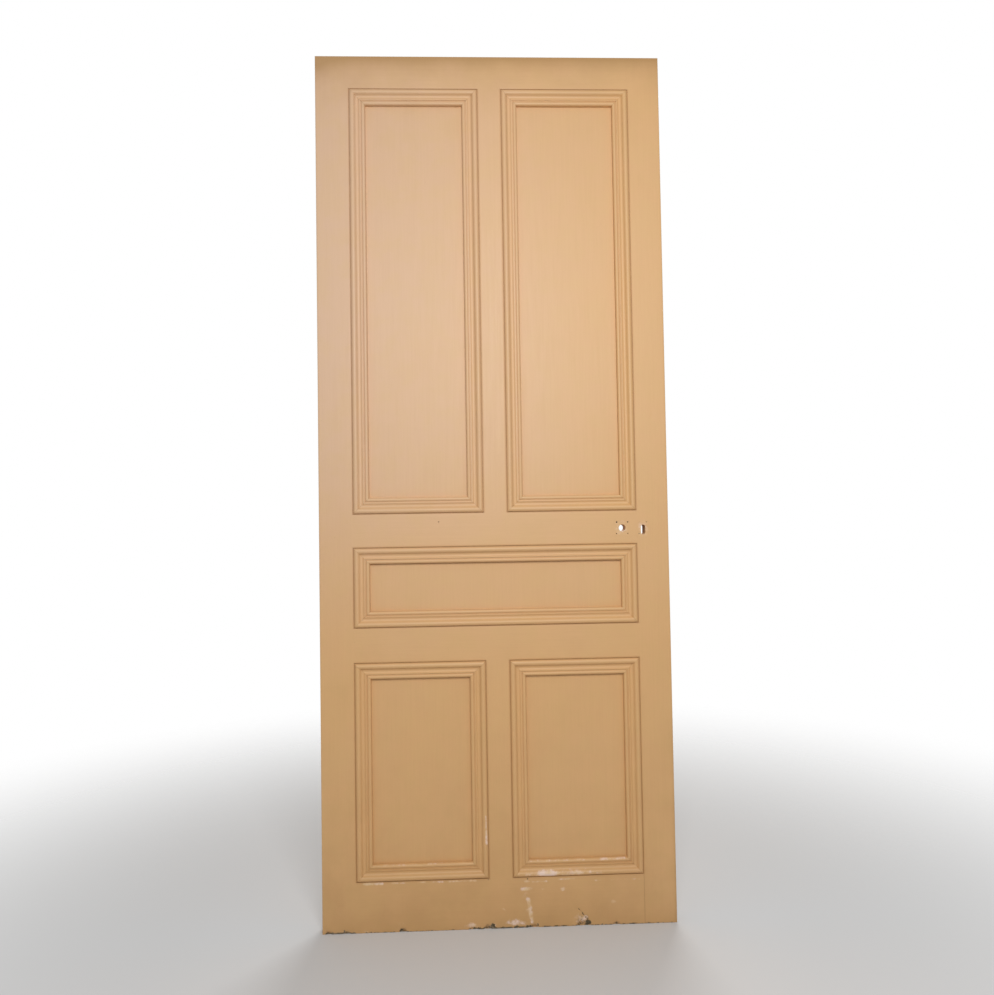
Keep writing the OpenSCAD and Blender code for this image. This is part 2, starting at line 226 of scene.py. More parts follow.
def streaks_field(x, z, streaks):
    """The strongest of the straight streaks at each point."""
    field = np.zeros_like(x)
    for x0, z0, x1, z1, half_w, strength in streaks:
        run_x = (x1 - x0) * MM
        run_z = (z1 - z0) * MM
        along = ((x - x0 * MM) * run_x + (z - z0 * MM) * run_z) / (run_x**2 + run_z**2)
        along = np.clip(along, 0, 1)
        r = np.hypot(x - x0 * MM - along * run_x, z - z0 * MM - along * run_z) / (half_w * MM)
        field = np.maximum(field, strength * np.clip(1.5 - r, 0, 1))
    return field


def noise_at(x, z, scale, seed):
    """Smooth noise from -1 to 1 at each point."""
    return np.array([noise.noise(Vector((a * scale, seed, b * scale))) for a, b in zip(x, z)])


def front_of(y):
    """1 on the front half of the leaf, 0 on the back."""
    return (y < 0).astype(float)


def chip_depth(x, z):
    """How deep the wood of the bottom arris is broken away at each point."""
    depth = np.zeros_like(x)
    ragged = noise_at(x, z, 160, 3.1)
    for left, width, height, deep in CHIPS:
        across = (x - (left + width / 2) * MM) / (width / 2 * MM)
        top = height * MM * np.clip(1 - np.abs(across) ** 3, 0, 1) * (1 + 0.35 * ragged)
        share = np.clip(1 - z / np.maximum(top, 0.01 * MM), 0, 1)
        depth = np.maximum(depth, deep * MM * share**0.7 * (1 + 0.15 * ragged))
    return depth


def split_depth(x, z):
    """How deep the split beside the largest chip is open at each point."""
    return SPLIT_DEPTH * np.clip(streaks_field(x, z, [(*SPLIT, 0.9, 1.0)]), 0, 1)


def dent_depth(x, z):
    """How deep the paint is dented at each point."""
    depth = np.zeros_like(x)
    for cx, cz, radius, deep in DENTS:
        r = np.hypot(x - cx * MM, z - cz * MM) / (radius * MM)
        depth = np.maximum(depth, deep * MM * np.clip(1 - r * r, 0, 1))
    return depth


def planing_depth(x, z, seed):
    """Gentle unevenness of the painted faces, always inward."""
    long = noise_at(x, z, 4.0, seed)
    short = noise_at(x, z, 19.0, seed + 7.7)
    return PLANING * (0.5 + 0.35 * long + 0.15 * short)


def dying_away(strength, distance, reach):
    """A strength that dies away with distance; reach is in millimetres."""
    return strength * np.exp(-distance / (reach * MM))


def grime_and_shade_field(x, z):
    """Brown soiling along the top, strongest at its hinge corner, along the foot and up the
    lower part of the lock edge, with painted shade: a broad darkening towards the top and
    towards the foot that stands in for the light's falloff."""
    from_top = LEAF_HIGH.z - z
    # Painted shade: the broad 120 mm term darkens the upper leaf in place of the light's falloff; the
    # narrow term is brown soiling along the top edge.
    top = dying_away(0.75, from_top, 26) + dying_away(0.44, from_top, 120)
    corner = dying_away(0.75, np.hypot(x - LEAF_LOW.x, from_top), 38)
    # Painted shade: the broad 420 mm term darkens the lower leaf in place of the light's falloff, over
    # real dirt at the foot.
    foot = dying_away(0.16, z, 60) + dying_away(0.50, z, 420)
    lock_edge = dying_away(0.6, LEAF_HIGH.x - x, 3) * np.clip(1 - z / HANDLED_TO, 0, 1)
    return np.clip(top + corner + foot + lock_edge, 0, 1.4)


def faded_and_cool_lit_field(x, z):
    """How far the paint turns cool and pink: most high on the hinge side, less along the browned
    top and not at all at the foot, which stays warm and yellow. This is partly the paint's fading
    and yellowing and partly painted light: a cool tint of light from the upper hinge side and a
    warm tint low down."""
    height = z / LEAF_HIGH.z
    across = (x - LEAF_LOW.x) / (LEAF_HIGH.x - LEAF_LOW.x)
    rise = np.clip((height - 0.23) / 0.35, 0, 1)
    browned = 1 - dying_away(0.6, LEAF_HIGH.z - z, 90)
    return browned * rise**2 * (3 - 2 * rise) * (0.55 + 0.45 * height) * (1 - across) ** 1.1


# ---- Making meshes ----

def finished(name, mesh, nodes, material):
    """A new piece of the object, in place of the given nodes."""
    piece = bpy.data.objects.new(name, mesh)
    bpy.context.scene.collection.objects.link(piece)
    mesh.materials.clear()
    mesh.materials.append(material)
    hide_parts(*nodes)
    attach(piece, "root")
    return piece


def smooth_by_angle(mesh):
    mesh.shade_smooth()
    mesh.set_sharp_from_angle(angle=math.radians(SMOOTH_ANGLE))


def coordinates(mesh):
    co = np.empty(len(mesh.vertices) * 3)
    mesh.vertices.foreach_get("co", co)
    return co.reshape(-1, 3)


def set_coordinates(mesh, co):
    mesh.vertices.foreach_set("co", co.astype(np.float32).ravel())
    mesh.update()


def store(mesh, name, values):
    """A value at each vertex, for the materials to read."""
    layer = mesh.attributes.new(name, "FLOAT", "POINT")
    layer.data.foreach_set("value", values.astype(np.float32))


def copied_shape(node):
    """A node's points and faces alone, welded, without the normals that its mesh carries."""
    source = frame["nodes"][node].data
    bm = bmesh.new()
    verts = [bm.verts.new(vert.co) for vert in source.vertices]
    for face in source.polygons:
        bm.faces.new([verts[i] for i in face.vertices])
    bmesh.ops.remove_doubles(bm, verts=bm.verts, dist=NEAR / 5)
    bm.normal_update()
    return bm


def join_flat_faces(bm):
    angle = math.radians(FLAT_ANGLE)
    bmesh.ops.dissolve_limit(bm, angle_limit=angle, verts=bm.verts, edges=bm.edges)


def store_looks(mesh, crease_shade_and_dirt, pale=0.0, bare=0.0, grime_and_shade=1.0):
    """Everything that the materials read at each vertex."""
    x, _, z = coordinates(mesh).T
    store(mesh, "crease_shade_and_dirt", crease_shade_and_dirt)
    store(mesh, "pale", np.zeros_like(x) + pale)
    store(mesh, "bare", np.zeros_like(x) + bare)
    store(mesh, "grime_and_shade", grime_and_shade * grime_and_shade_field(x, z))
    store(mesh, "faded_and_cool_lit", faded_and_cool_lit_field(x, z))


def cut_along(bm, axis, places):
    """Cuts the mesh by planes across an axis, so that its faces can follow a surface."""
    normal = [0, 0, 0]
    normal[axis] = 1
    for place in places:
        point = [0, 0, 0]
        point[axis] = place
        everything = bm.verts[:] + bm.edges[:] + bm.faces[:]
        bmesh.ops.bisect_plane(bm, geom=everything, dist=NEAR / 5, plane_co=point, plane_no=normal)


def steps_between(low, high, step):
    """Evenly spaced places strictly between two ends."""
    count = max(1, round((high - low) / step))
    return [low + (high - low) * i / count for i in range(1, count)]


# ---- Framing ----

def on_opening(point):
    """Whether a point of the framing's face lies on the edge of an opening."""
    for left, bottom, right, top in OPENINGS.values():
        beside = min(abs(point.x - left), abs(point.x - right)) < NEAR
        level = min(abs(point.z - bottom), abs(point.z - top)) < NEAR
        if beside and bottom < point.z < top:
            return True
        if level and left < point.x < right:
            return True
    return False


def on_outline(point):
    across = LEAF_HIGH.x - abs(point.x) < NEAR
    return across or point.z < NEAR or LEAF_HIGH.z - point.z < NEAR


def on_lock_hole(point):
    return min(math.dist(point.xz, hole.xz) for hole in (SPINDLE, KEYHOLE)) < 16 * MM


def on_open_joint(point):
    return abs(point.x - FIELD_RIGHT) < NEAR and point.z < BOTTOM_RAIL_TOP and point.y < 0


def arrises(bm, belongs):
    """Edges between a face of the leaf and a wall square to it, where belongs says so."""
    found = []
    for edge in bm.edges:
        if len(edge.link_faces) != 2:
            continue
        if any(abs(abs(vert.co.y) - FACE) > NEAR for vert in edge.verts):
            continue
        level = sorted(abs(face.normal.y) for face in edge.link_faces)
        middle = (edge.verts[0].co + edge.verts[1].co) / 2
        if level[0] < 0.1 and level[1] > 0.9 and belongs(middle):
            found.append(edge)
    return found


def round_arrises(bm, belongs, radius, segments):
    edges = arrises(bm, belongs)
    if edges:
        bmesh.ops.bevel(bm, geom=edges, offset=radius, segments=segments, profile=0.5,
                        affect="EDGES", clamp_overlap=True)


def plain_framing(node):
    """The frame's own mesh, in flat faces, with its plain bottom chips filled in again."""
    bm = copied_shape(node)
    for vert in bm.verts:
        if vert.co.z < WEDGE_H + NEAR and vert.co.y < WEDGE_DEPTH - FACE + NEAR:
            vert.co.y = -FACE
    bmesh.ops.remove_doubles(bm, verts=bm.verts, dist=NEAR)
    bmesh.ops.dissolve_degenerate(bm, edges=bm.edges, dist=NEAR)
    join_flat_faces(bm)
    return bm


def near_hole(hole, axis):
    """Fine cuts across an axis for the marks round a lock hole."""
    return steps_between(hole[axis] - HOLE_MARKS, hole[axis] + HOLE_MARKS, FINE_GRID)


def grid_places(node):
    """Where a member is cut across X and Z: finest where it is chipped, worn or drilled."""
    low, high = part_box(node)
    across = steps_between(low.x, high.x, COARSE_GRID)
    upward = steps_between(low.z, high.z, COARSE_GRID)
    if node == "bottom_rail":
        across = steps_between(low.x, high.x, FINE_GRID)
        upward = steps_between(low.z, high.z, FINE_GRID)
    elif node in ("hinge_stile", "lock_stile"):
        across = steps_between(low.x, high.x, RAIL_GRID)
        upward = steps_between(0, 40 * MM, FINE_GRID) + steps_between(40 * MM, high.z, COARSE_GRID)
    elif node == "lock_rail":
        across = steps_between(low.x, high.x, RAIL_GRID)
        upward = steps_between(low.z, high.z, RAIL_GRID)
    if node in ("lock_rail", "lock_stile"):
        hole = SPINDLE if node == "lock_rail" else KEYHOLE
        across += near_hole(hole, 0)
        upward += near_hole(hole, 2)
    return across, upward


def framing_shape(mesh, seed):
    """Moves the framing's faces inward: unevenness, dents, chips and the split."""
    co = coordinates(mesh)
    x, y, z = co.T
    on_face = np.clip((np.abs(y) - FACE + DEEP) / (DEEP - SHALLOW), 0, 1)
    depth = planing_depth(x, z, seed)
    broken = chip_depth(x, z) + split_depth(x, z) + dent_depth(x, z)
    depth = depth + broken * front_of(y)
    co[:, 1] = y - np.sign(y) * depth * on_face
    set_coordinates(mesh, co)
    return broken * front_of(y)


def framing_wear(mesh, broken):
    """Stores where the framing is pale, bare or soiled, and where it is darkened: painted shade
    with dirt beside the mouldings and on its sunken walls, the dark open joint, and soiling
    with painted shade towards the top and foot.
    """
    x, y, z = coordinates(mesh).T
    front = front_of(y)
    pale = np.maximum(spots_field(x, z, PALE_SPOTS), streaks_field(x, z, PALE_STREAKS_AND_HIGHLIGHTS)) * front
    bare = np.maximum(spots_field(x, z, BARE_SPOTS), streaks_field(x, z, BARE_STREAKS)) * front
    bare = np.maximum(bare, BROKEN_BARE * np.clip(broken / BROKEN_DEPTH, 0, 1))
    beside_joint = np.clip(1.6 - np.abs(x - FIELD_RIGHT) / (1.0 * MM), 0, 1)
    joint = beside_joint * (z < BOTTOM_RAIL_TOP - 3 * MM) * front
    # Painted shade on walls sunk below the face, such as those beside the mouldings and inside the
    # lock holes.
    inside = np.clip((FACE - 0.8 * MM - np.abs(y)) / (1.5 * MM), 0, 1)
    from_edge = np.minimum.reduce([LEAF_HIGH.x - np.abs(x), z, LEAF_HIGH.z - z])
    recess_shade = inside * (from_edge > EDGE_KEPT)
    # Painted shade with dirt on the framing beside each moulding.
    beside = LINE_SHADE_AND_DIRT * beside_openings(x, z)
    store_looks(mesh, np.maximum.reduce([0.5 * joint, 0.65 * recess_shade, beside]), pale, bare)


def beside_openings(x, z):
    """How near each point outside the openings is to the edge of one, from 0 to 1."""
    nearest = np.full_like(x, 1.0)
    for left, bottom, right, top in OPENINGS.values():
        out_x = np.maximum(np.maximum(left - x, x - right), 0)
        out_z = np.maximum(np.maximum(bottom - z, z - top), 0)
        nearest = np.minimum(nearest, np.hypot(out_x, out_z))
    return np.clip(1 - nearest / SHADE_AND_DIRT_REACH, 0, 1)


def framing_piece(node, seed, material):
    bm = plain_framing(node)
    cut_along(bm, 0, opening_edges(0))
    cut_along(bm, 2, opening_edges(1))
    bm.normal_update()
    round_arrises(bm, on_outline, EDGE_ROUND, 3)
    round_arrises(bm, on_opening, OPENING_ROUND, 2)
    round_arrises(bm, on_lock_hole, HOLE_ROUND, 2)
    round_arrises(bm, on_open_joint, JOINT_ROUND, 2)
    across, upward = grid_places(node)
    across += [edge + side * SHADE_AND_DIRT_REACH for edge in opening_edges(0) for side in (-1, 1)]
    upward += [edge + side * SHADE_AND_DIRT_REACH for edge in opening_edges(1) for side in (-1, 1)]
    cut_along(bm, 0, across)
    cut_along(bm, 2, upward)
    mesh = bpy.data.meshes.new(f"{node}_painted")
    bm.to_mesh(mesh)
    bm.free()
    broken = framing_shape(mesh, seed)
    framing_wear(mesh, broken)
    smooth_by_angle(mesh)
    return finished(f"{node}_painted", mesh, [node], material)


# ---- Mouldings ----

def arc(centre, r, start, end, steps):
    """Points on a round stretch of the section, from one angle to another, in degrees."""
    angles = np.radians(np.linspace(start, end, steps + 1))
    return [(centre[0] + r * math.cos(a), centre[1] + r * math.sin(a)) for a in angles]


def front_section():
    """Half of a moulding's section, from the tongue's tip to the bottom of the panel's groove:
    (distance from the framing, height above mid-thickness)."""
    width = MOULD_W
    bead = (OUTER_QUIRK_W + BEAD_R, FACE + BEAD_PROUD - BEAD_R)
    bead_start = 180 + math.degrees(math.asin((bead[1] - FACE + OUTER_QUIRK_DROP) / BEAD_R))
    side = HOLLOW_S - bead[0]
    fall = FACE - HOLLOW_DROP - bead[1]
    hollow_r = (side**2 + fall**2 - BEAD_R**2) / (2 * (BEAD_R - fall))
    hollow = (HOLLOW_S, FACE - HOLLOW_DROP + hollow_r)
    ogee = math.degrees(math.atan2(hollow[1] - bead[1], side))
    fillet = 360 + math.degrees(math.asin((FACE - FILLET_DROP - hollow[1]) / hollow_r))
    inner = (width - INNER_R, FACE - INNER_R)
    inner_start = 180 - math.degrees(math.asin((FACE - QUIRK_DROP - inner[1]) / INNER_R))
    groove = PANEL_FACE + PANEL_SLIP
    points = [(-TONGUE_L, TONGUE_T / 2), (0, TONGUE_T / 2), (0, FACE - OUTER_QUIRK_DROP)]
    points += arc(bead, BEAD_R, bead_start, 90, 10)
    points += arc(bead, BEAD_R, 90, ogee, 8)[1:]
    points += arc(hollow, hollow_r, 180 + ogee, fillet, 10)[1:]
    points += [(FILLET_S, FACE - FILLET_DROP), (FILLET_S, FACE - QUIRK_DROP)]
    points += arc(inner, INNER_R, inner_start, 0, 10)
    points += [(width, groove + INNER_LIP), (width, groove), (width - PANEL_GROOVE, groove)]
    return points


def whole_section():
    front = front_section()
    return front + [(s, -h) for s, h in reversed(front)]


def section_crease(s, h):
    """How dark a point of the section is painted, from 0 to 1: painted shade with dirt in and
    beside the outer quirk, in the inner quirk and where the moulding meets the panel.
    """
    rise = np.abs(h)
    outer = np.clip(1 - s / SHADE_AND_DIRT_REACH, 0, 1) * np.clip((FACE + 4 * MM - rise) / (5 * MM), 0, 1)
    low = np.clip((FACE - FILLET_DROP - rise) / (1.6 * MM), 0, 1)
    quirk = np.clip(1 - np.abs(s - FILLET_S - 0.8 * MM) / (2.2 * MM), 0, 1) * low
    panel = np.clip(1 - (rise - PANEL_FACE) / (3.6 * MM), 0, 1) * (s > MOULD_W - 2 * MM)
    return np.maximum.reduce([0.58 * outer, 0.30 * quirk, 0.30 * panel])


def stations(length, step):
    """Shares of a moulding's length, close together near the mitres and even between."""
    reach = MITRE_CUTS[-1]
    middle = [reach + d for d in [0] + steps_between(0, length - 2 * reach, step)]
    places = MITRE_CUTS[:-1] + middle + [length - d for d in reversed(MITRE_CUTS)]
    return np.array(places) / length


def moulding_place(name, side, along, s):
    """Leaf x and z of points at given distances along and in from one side of an opening."""
    left, bottom, right, top = OPENINGS[name]
    places = {
        "bottom": (left + along, bottom + s),
        "top": (left + along, top - s),
        "left": (left + s, bottom + along),
        "right": (right - s, bottom + along),
    }
    return places[side]


def moulding_mesh(name, side, step, seed):
    left, bottom, right, top = OPENINGS[name]
    length = right - left if side in ("bottom", "top") else top - bottom
    section = np.array(whole_section())
    shares = stations(length, step)
    s = np.tile(section[:, 0], len(shares))
    h = np.tile(section[:, 1], len(shares))
    share = np.repeat(shares, len(section))
    open_part = np.clip((np.abs(h) - PANEL_FACE - HIDDEN_RISE) / HIDDEN_RISE, 0, 1)
    start = s + MITRE_GAP * open_part
    along = start + share * (length - 2 * start)
    x, z = moulding_place(name, side, along, s)
    uneven = MOULD_UNEVEN * (0.5 + 0.5 * noise_at(along, np.zeros_like(s), 13, seed))
    uneven += MOULD_RIPPLE * (0.5 + 0.5 * noise_at(along, s * 3 + seed, 55, seed + 2.2))
    seen = (s > OUTER_QUIRK_W) & (s < MOULD_W - 0.5 * MM) & (np.abs(h) > PANEL_FACE + HIDDEN_RISE)
    h_shown = h - np.sign(h) * uneven * seen
    mesh = swept_mesh(f"{name}_moulding_{side}_painted", np.column_stack([x, -h_shown, z]),
                      len(shares), len(section))
    from_mitre = np.minimum(share, 1 - share) * length
    mitre = np.clip(1 - from_mitre / MITRE_DIRT, 0, 1)
    moulding_wear(mesh, np.maximum(section_crease(s, h), 0.3 * mitre))
    return mesh


def swept_mesh(name, points, rings, around):
    """A closed solid of rings of points, capped at both ends."""
    bm = bmesh.new()
    verts = [bm.verts.new(point) for point in points]
    for ring in range(rings - 1):
        for i in range(around):
            a = ring * around + i
            b = ring * around + (i + 1) % around
            bm.faces.new([verts[a], verts[b], verts[b + around], verts[a + around]])
    bm.faces.new(verts[:around])
    bm.faces.new(verts[-around:])
    bmesh.ops.recalc_face_normals(bm, faces=bm.faces)
    mesh = bpy.data.meshes.new(name)
    bm.to_mesh(mesh)
    bm.free()
    return mesh


def moulding_wear(mesh, crease_shade_and_dirt):
    """Stores where a moulding is pale, with worn paint and painted highlights on the lower inner
    beads, bare or soiled, and where it is darkened: painted shade with dirt in its quirks, dark
    mitre hairlines, and soiling with painted shade towards the top and foot.
    """
    x, y, z = coordinates(mesh).T
    outside = front_of(y) * (np.abs(y) > PANEL_FACE + 3 * MM)
    pale = np.maximum(spots_field(x, z, PALE_SPOTS), streaks_field(x, z, PALE_STREAKS_AND_HIGHLIGHTS))
    bare = np.maximum(spots_field(x, z, BARE_SPOTS), streaks_field(x, z, BARE_STREAKS))
    store_looks(mesh, crease_shade_and_dirt, pale * outside, bare * outside, 0.85)


def moulding_piece(name, side, seed, material):
    worn = (name.startswith("lower") and side == "bottom") or (name, side) == ("lower_left", "right")
    step = MOULD_STEP_WORN[side] if worn else MOULD_STEP
    mesh = moulding_mesh(name, side, step, seed)
    smooth_by_angle(mesh)
    node = f"{name}_moulding_{side}"
    return finished(f"{node}_painted", mesh, [node], material)


# ---- Panels ----

def panel_piece(node, seed, material):
    """A board in a grid, faintly hollow across its width as old boards are."""
    low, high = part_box(node)
    bm = bmesh.new()
    size = high - low
    bmesh.ops.create_cube(bm, size=1, matrix=Matrix.LocRotScale((low + high) / 2, None, size))
    rims = [PANEL_IN, PANEL_IN + PANEL_SHADE_AND_DIRT]
    for axis in (0, 2):
        cut_along(bm, axis, steps_between(low[axis], high[axis], COARSE_GRID))
        cut_along(bm, axis, [low[axis] + d for d in rims] + [high[axis] - d for d in rims])
    mesh = bpy.data.meshes.new(f"{node}_painted")
    bm.to_mesh(mesh)
    bm.free()
    co = coordinates(mesh)
    x, y, z = co.T
    across = 2 * (x - low.x) / size.x - 1
    up = 2 * (z - low.z) / size.z - 1
    free = np.clip(1 - np.maximum(np.abs(across), np.abs(up)) ** 8, 0, 1)
    bow = PANEL_BOW * (1 - across**2) * (1 - up**4) + PANEL_WAVE * noise_at(x, z, 5, seed)
    co[:, 1] = y + bow * free
    set_coordinates(mesh, co)
    beside = np.minimum(size.x / 2 * (1 - np.abs(across)), size.z / 2 * (1 - np.abs(up)))
    shown = beside - PANEL_IN
    # Painted shade with dirt where the panel meets the mouldings.
    store_looks(mesh, 0.22 * np.clip(1 - shown / PANEL_SHADE_AND_DIRT, 0, 1), grime_and_shade=0.8)
    smooth_by_angle(mesh)
    return finished(f"{node}_painted", mesh, [node], material)


# ---- Pegs ----

def peg_piece(node, material):
    """The pegs of a node, each with a slightly sunken, rounded head at the back."""
    bm = copied_shape(node)
    join_flat_faces(bm)
    rims = [edge for edge in bm.edges if all(abs(v.co.y - FACE) < NEAR for v in edge.verts)]
    bmesh.ops.bevel(bm, geom=rims, offset=PEG_ROUND, segments=3, profile=0.5, affect="EDGES")
    heads = [face for face in bm.faces if all(abs(v.co.y - FACE) < NEAR for v in face.verts)]
    for centre in bmesh.ops.poke(bm, faces=heads)["verts"]:
        centre.co.y -= PEG_DIMPLE
    for vert in bm.verts:
        if vert.co.y > FACE - DEEP:
            vert.co.y -= PLANING
    mesh = bpy.data.meshes.new(f"{node}_painted")
    bm.to_mesh(mesh)
    bm.free()
    y = coordinates(mesh)[:, 1]
    # Painted shade in the ring round each sunken head and on the shaft below it.
    store_looks(mesh, np.clip((FACE - PLANING - 0.35 * MM - y) / (0.4 * MM), 0, 1))
    smooth_by_angle(mesh)
    return finished(f"{node}_painted", mesh, [node], material)


# ---- Materials ----

class Shader:
    """A node tree under construction, with short calls for what repeats."""

    def __init__(self, name):
        self.material = bpy.data.materials.new(name)
        self.material.use_nodes = True
        self.tree = self.material.node_tree
        self.tree.nodes.clear()

    def add(self, kind, values=None, **settings):
        made = self.tree.nodes.new(kind)
        for key, value in settings.items():
            setattr(made, key, value)
        for key, value in (values or {}).items():
            self.feed(made.inputs[key], value)
        return made

    def feed(self, socket, value):
        """Links an output to a socket, or sets the socket to a plain value."""
        if isinstance(value, bpy.types.NodeSocket):
            self.tree.links.new(value, socket)
        else:
            socket.default_value = value

    def math(self, operation, a, b=0.0, clamp=False):
        made = self.add("ShaderNodeMath", {0: a, 1: b}, operation=operation, use_clamp=clamp)
        return made.outputs[0]

    def between(self, value, low, high):
        """Value's place between low and high, from 0 to 1, with a soft start and end."""
        made = self.add("ShaderNodeMapRange", {"Value": value, "From Min": low, "From Max": high},
                        interpolation_type="SMOOTHSTEP")
        return made.outputs["Result"]

    def blend(self, factor, a, b, kind="MIX"):
        """Colour a with colour b over it by factor."""
        made = self.add("ShaderNodeMix", data_type="RGBA", blend_type=kind)
        self.feed(made.inputs[0], factor)
        self.feed(made.inputs[6], a)
        self.feed(made.inputs[7], b)
        return made.outputs[2]

    def attribute(self, name):
        return self.add("ShaderNodeAttribute", attribute_name=name).outputs["Fac"]

    def place(self, stretch=(1, 1, 1)):
        """The point on the leaf, in metres, stretched along each axis."""
        point = self.add("ShaderNodeTexCoord").outputs["Object"]
        return self.add("ShaderNodeMapping", {"Vector": point, "Scale": stretch}).outputs["Vector"]

    def noise(self, vector, scale, detail=3.0, roughness=0.5):
        made = self.add("ShaderNodeTexNoise", {"Vector": vector, "Scale": scale, "Detail": detail,
                                               "Roughness": roughness})
        return made.outputs["Fac"]

    def bump(self, height, distance, strength=1.0, under=None):
        made = self.add("ShaderNodeBump", {"Height": height, "Distance": distance,
                                           "Strength": strength})
        if under is not None:
            self.feed(made.inputs["Normal"], under)
        return made.outputs["Normal"]


PAINT_WARM = (0.700, 0.412, 0.182, 1)
# The next colour is the cool pink high on the hinge side: partly fading of the paint and partly
# painted cool light.
PAINT_FADED_AND_COOL_LIT = (0.670, 0.448, 0.300, 1)
PAINT_YELLOW = (0.660, 0.440, 0.170, 1)
# Undercoat colours; the same colours make the painted highlights on the lower inner beads.
PALE_UNDERCOAT_AND_HIGHLIGHT = (0.900, 0.720, 0.640, 1)
WARM_UNDERCOAT_AND_HIGHLIGHT = (0.800, 0.590, 0.360, 1)
OLD_WOOD = (0.130, 0.090, 0.045, 1)
GREY_WOOD = (0.300, 0.240, 0.170, 1)
DIRT = (0.060, 0.042, 0.014, 1)
# Brown of the soiling and of the painted shade towards the top and foot; it also darkens brush
# streaks.
WARM_BROWN = (0.340, 0.180, 0.055, 1)
# Brown of the painted shade with dirt in quirks, recesses and joints.
CREASE_SHADE_AND_DIRT = (0.300, 0.145, 0.045, 1)

# How much of each colour covers the paint where it is strongest
YELLOW_SHARE = 0.16
STREAK_SHARE = 0.035
GRIME_AND_SHADE_SHARE = 0.62
SPECK_SHARE = 0.28
CREASE_SHADE_AND_DIRT_SHARE = 0.72
PALE_SHARE = 0.78
DIRTY_WOOD_SHARE = 0.85

PAINT_ROUGHNESS = 0.47    # and what brush marks, worn places and creases add to it
BRUSH_ROUGHNESS = 0.07
WORN_ROUGHNESS = 0.3
CREASE_ROUGHNESS = 0.2
BRUSH_RIDGES = 0.07 * MM
PAINT_STIPPLE = 0.03 * MM
COAT_STEP = 0.35 * MM     # from the paint's surface down to where it is gone
BRUSH_FINE = 420          # how closely brush marks lie, per metre, across and along the stroke
BRUSH_LONG = 9


def broken_up(shader, field, grain, amount, low, high):
    """A smooth field turned into ragged patches by noise."""
    ragged = shader.math("MULTIPLY_ADD", grain, amount)
    shader.feed(ragged.node.inputs[2], -amount / 2)
    return shader.between(shader.math("ADD", field, ragged), low, high)


def painted(shader, here, strokes):
    """The paint's colour: cool and pink high on the hinge side and warmer below, partly from
    fading and yellowing and partly painted cool and warm light; faintly mottled and brushed.
    """
    cloud = shader.noise(here, 3.0, 2.0)
    mottle = shader.noise(here, 17.0, 3.0, 0.6)
    drift = shader.math("MULTIPLY_ADD", cloud, 0.34)
    shader.feed(drift.node.inputs[2], -0.17)
    faded_and_cool_lit = shader.math("ADD", shader.attribute("faded_and_cool_lit"), drift, clamp=True)
    colour = shader.blend(faded_and_cool_lit, PAINT_WARM, PAINT_FADED_AND_COOL_LIT)
    yellow = shader.math("MULTIPLY", shader.between(mottle, 0.38, 0.66), YELLOW_SHARE)
    colour = shader.blend(yellow, colour, PAINT_YELLOW)
    streaky = shader.math("MULTIPLY", shader.between(strokes, 0.30, 0.75), STREAK_SHARE)
    return shader.blend(streaky, colour, WARM_BROWN, "MULTIPLY")


def soiled_and_shaded(shader, here, colour):
    """Soiling with painted shade towards the top and foot, fine specks, and painted shade with
    dirt in the quirks and recesses, over the paint.
    """
    blotch = shader.noise(here, 13.0, 4.0, 0.55)
    grime_and_shade = broken_up(shader, shader.attribute("grime_and_shade"), blotch, 0.5, 0.0, 1.15)
    # Soiling plus painted shade of the light's falloff towards the top and foot.
    colour = shader.blend(shader.math("MULTIPLY", grime_and_shade, GRIME_AND_SHADE_SHARE), colour, WARM_BROWN)
    specks = shader.between(shader.noise(here, 420.0, 2.0), 0.755, 0.80)
    colour = shader.blend(shader.math("MULTIPLY", specks, SPECK_SHARE), colour, DIRT)
    # Painted shade with dirt in the quirks, recesses and joints.
    crease_shade_and_dirt = shader.between(shader.attribute("crease_shade_and_dirt"), 0.0, 1.0)
    return shader.blend(shader.math("MULTIPLY", crease_shade_and_dirt, CREASE_SHADE_AND_DIRT_SHARE), colour, CREASE_SHADE_AND_DIRT), crease_shade_and_dirt


def bare_wood(shader, here):
    """Old grey wood, with dirt in its fibres."""
    fibres = shader.noise(shader.place((60, 1400, 1400)), 1.0, 3.0)
    dirty = shader.between(shader.noise(here, 90.0, 3.0), 0.36, 0.60)
    wood = shader.blend(fibres, OLD_WOOD, GREY_WOOD)
    return shader.blend(shader.math("MULTIPLY", dirty, DIRTY_WOOD_SHARE), wood, DIRT)


